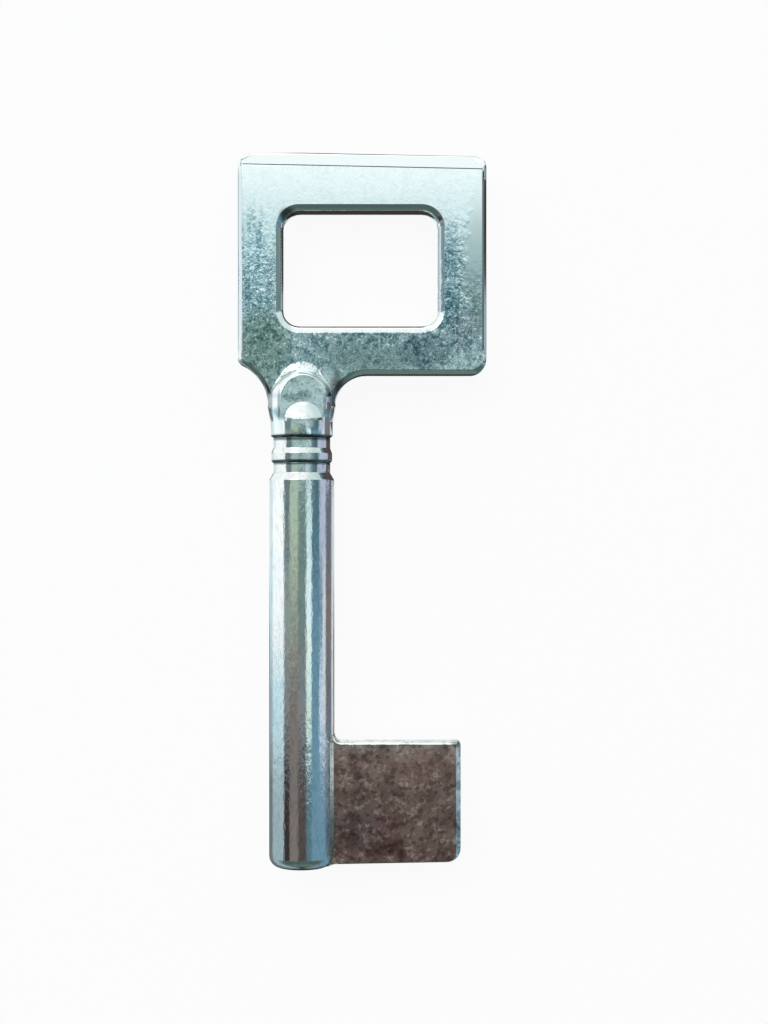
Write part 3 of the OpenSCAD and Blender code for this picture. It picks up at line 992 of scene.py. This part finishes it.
# %% [markdown]
# The far end of the tent, towards the top of the picture, is white on the left and above, pale green-grey
# on the right and dark brown below that, and has a bright patch at its very end. The upper half of the
# near end is dark green, a little lighter further out and black at its very end. Straight below the key
# lies its own shadow, and a dark place low in the near end is what the window's upper wall looks at. The
# camera, and whatever is seen through glass, gets plain white instead of the tent.

# %% The ends and the floor of the tent

FAR_FROM = (0.185, 0.24)
BRIGHT_FROM, BRIGHT_ABOVE, BRIGHT_GAIN = (0.88, 0.95), (-0.02, 0.04), 1.7
NEAR_END = (-0.30, -1.00)
NEAR_FROM, NEAR_WITHIN = (-0.25, -0.40), (100, 70)
SHADOW_FROM, SHADOW_BELOW = (-0.03, -0.07), (-0.86, -0.94)
DARK_FROM, DARK_OUTSIDE = (-0.20, -0.30), (150, 165)

far_end = ramp(tent, around, going_round(
    (-176, "soot"), (-168, "mist"), (-135, "silk"), (12, "silk"), (60, "haze"), (98, "haze"),
    (106, "umber"), (165, "umber"), (174, "soot")))
near_end = ramp(tent, by_lean(*NEAR_END), [
    (0.00, tone("cedar")),
    (0.58, tone("cedar")),
    (0.68, tone("fern")),
    (0.90, tone("fern")),
    (0.96, tone("soot")),
])
bright = opaque(BRIGHT_GAIN * value for value in tone("silk"))
shadow = opaque(tone("soot"))
lit = over(by_lean(*FAR_FROM), lit, far_end)
lit = over(in_both(by_lean(*BRIGHT_FROM), share_of(tent, axes["Z"], *BRIGHT_ABOVE)), lit, bright)
lit = over(in_both(by_lean(*NEAR_FROM), off_top_by(*NEAR_WITHIN)), lit, near_end)
lit = over(in_both(by_lean(*SHADOW_FROM), share_of(tent, axes["Z"], *SHADOW_BELOW)), lit, shadow)
lit = over(in_both(by_lean(*DARK_FROM), off_top_by(*DARK_OUTSIDE)), lit, shadow)
seen = add(tent, "ShaderNodeLightPath").outputs
past_the_tent = math_node(tent, "ADD", seen["Is Camera Ray"], seen["Is Transmission Ray"])
glow = add(tent, "ShaderNodeBackground", {"Color": over(past_the_tent, lit, WHITE), "Strength": 1.0})
add(tent, "ShaderNodeOutputWorld", {"Surface": glow.outputs[0]})
print("tent:", len(tent.nodes), "nodes in all")

# %% [markdown]
# The key lies on a white table. For the camera most of the table's brightness is its own glow, so that it
# comes out white, and the rest is ordinary diffuse light that keeps the key's soft shadow. Mirror images
# go through the table, as if it were glass over the lower half of the tent.

# %% The table

TABLE_GAP = 0.02 * MM
TABLE_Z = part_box("shank")[0].z - TABLE_GAP
TABLE_HALF = 1.5
PAPER = (0.86, 0.87, 0.87)
GLOW = 0.93


def make_paper():
    paper = bpy.data.materials.new("white_table")
    paper.use_nodes = True
    tree = paper.node_tree
    tree.nodes.clear()
    path = add(tree, "ShaderNodeLightPath").outputs
    plain = add(tree, "ShaderNodeBsdfDiffuse", {"Color": opaque(PAPER)})
    white = add(tree, "ShaderNodeEmission", {"Color": WHITE, "Strength": 1.0})
    glowing = math_node(tree, "MULTIPLY", path["Is Camera Ray"], GLOW)
    lit_paper = add(tree, "ShaderNodeMixShader", {0: glowing, 1: plain.outputs[0], 2: white.outputs[0]})
    clear = add(tree, "ShaderNodeBsdfTransparent")
    shown = add(tree, "ShaderNodeMixShader", {
        0: path["Is Glossy Ray"], 1: lit_paper.outputs[0], 2: clear.outputs[0]})
    add(tree, "ShaderNodeOutputMaterial", {"Surface": shown.outputs[0]})
    return paper


corners = [(-1, -1), (1, -1), (1, 1), (-1, 1)]
mesh = bpy.data.meshes.new("table")
mesh.from_pydata([(x * TABLE_HALF, y * TABLE_HALF, TABLE_Z) for x, y in corners], [], [(0, 1, 2, 3)])
mesh.materials.append(make_paper())
table = new_object("table", mesh)
print("table:", 2 * TABLE_HALF, "m wide, at", round(TABLE_Z / MM, 2), "mm")

# %% [markdown]
# One large lamp stands above the upper left, which gives the shadow its direction. An area lamp is used
# because a wide source makes the shadow's border soft.

# %% The lamp

LAMP_SIZE = 0.30
LAMP_POWER = 0.9
LAMP_PLACE = Vector((-0.25, 0.35, 0.45))
KEY_MIDDLE = Vector((0.008, 0.036, 0.0))

lamp_data = bpy.data.lights.new("soft_lamp", "AREA")
lamp_data.shape = "SQUARE"
lamp_data.size = LAMP_SIZE
lamp_data.energy = LAMP_POWER
lamp = new_object("soft_lamp", lamp_data)
lamp.location = LAMP_PLACE
lamp.rotation_euler = (KEY_MIDDLE - LAMP_PLACE).to_track_quat("-Z", "Y").to_euler()
print("lamp:", round((KEY_MIDDLE - LAMP_PLACE).length, 2), "m from the key")

# %% [markdown]
# The picture was taken from straight above. Ten pixels of it are one millimetre, and the middle of the
# picture lies beside the shank. The lens follows from the height of the camera and from the length that
# the picture's height stands for.

# %% The camera

PICTURE_HEIGHT = 1024
PIXELS_PER_MM = 10.0
MIDDLE = Vector((8.22 * MM, 35.4 * MM, 0.0))
CAMERA_HEIGHT = 180 * MM
SENSOR = 24.0

camera_data = bpy.data.cameras.new("camera")
camera_data.sensor_fit = "VERTICAL"
camera_data.sensor_height = SENSOR
camera_data.lens = SENSOR * CAMERA_HEIGHT / (PICTURE_HEIGHT / PIXELS_PER_MM * MM)
camera_data.clip_start = 10 * MM
camera = new_object("camera", camera_data)
camera.location = MIDDLE + Vector((0.0, 0.0, CAMERA_HEIGHT))
bpy.context.scene.camera = camera
bpy.context.scene.view_settings.view_transform = "Standard"
print("lens:", round(camera_data.lens, 2), "mm")
